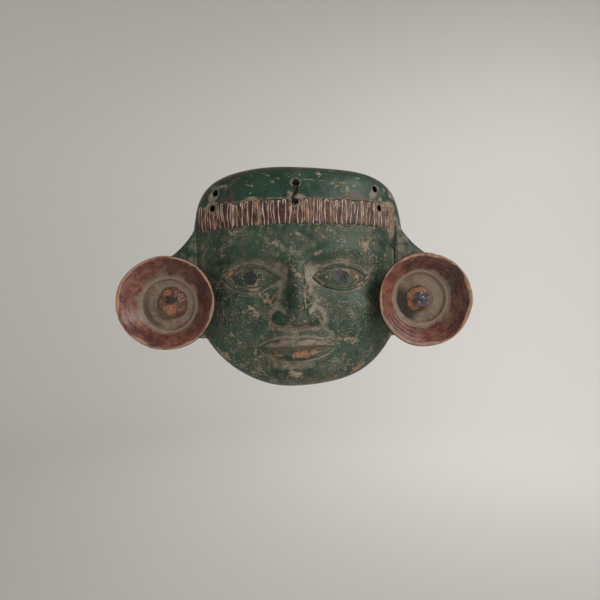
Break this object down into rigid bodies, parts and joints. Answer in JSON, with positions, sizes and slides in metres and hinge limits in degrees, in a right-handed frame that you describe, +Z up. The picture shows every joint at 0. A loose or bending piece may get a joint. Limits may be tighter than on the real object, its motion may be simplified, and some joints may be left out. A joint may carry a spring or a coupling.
{
  "type": "wall mask",
  "caption": "Wall-hung fired-clay folk mask, green with a scored hair band and flared ear spools, hung by a wire loop.",
  "frame": {"origin": "where the nail bears on the inside of the wire's loop, behind the forehead", "axes": "+X to the right as seen from the front, +Y into the wall, +Z up; the face looks along -Y"},
  "size_m": [0.2692, 0.066, 0.172],
  "materials": {
    "green_slip": "worn painted clay, semi-gloss",
    "band_slip": "worn painted clay, matte",
    "spool_slip": "burnished slip, semi-gloss",
    "boss_clay": "bare fired clay, dusty",
    "black_wire": "black annealed wire"
  },
  "bodies": {
    "mask": {"face_shell": "green_slip", "hair_band": "band_slip", "nose": "green_slip", "upper_lip": "green_slip", "lower_lip": "green_slip", "eyeball_left": "green_slip", "eyeball_right": "green_slip", "eye_rim_left": "green_slip", "eye_rim_right": "green_slip", "ear_lug_left": "green_slip", "ear_lug_right": "green_slip", "ear_stem_left": "spool_slip", "ear_stem_right": "spool_slip", "ear_dish_left": "spool_slip", "ear_dish_right": "spool_slip", "ear_boss_left": "boss_clay", "ear_boss_right": "boss_clay"},
    "hanger": {"hanging_wire": "black_wire"}
  },
  "joints": [
    {"name": "wire_slide", "type": "slide", "parent": "mask", "child": "hanger", "axis": [0, -1, 0], "range_m": [0, 0.005]}
  ]
}
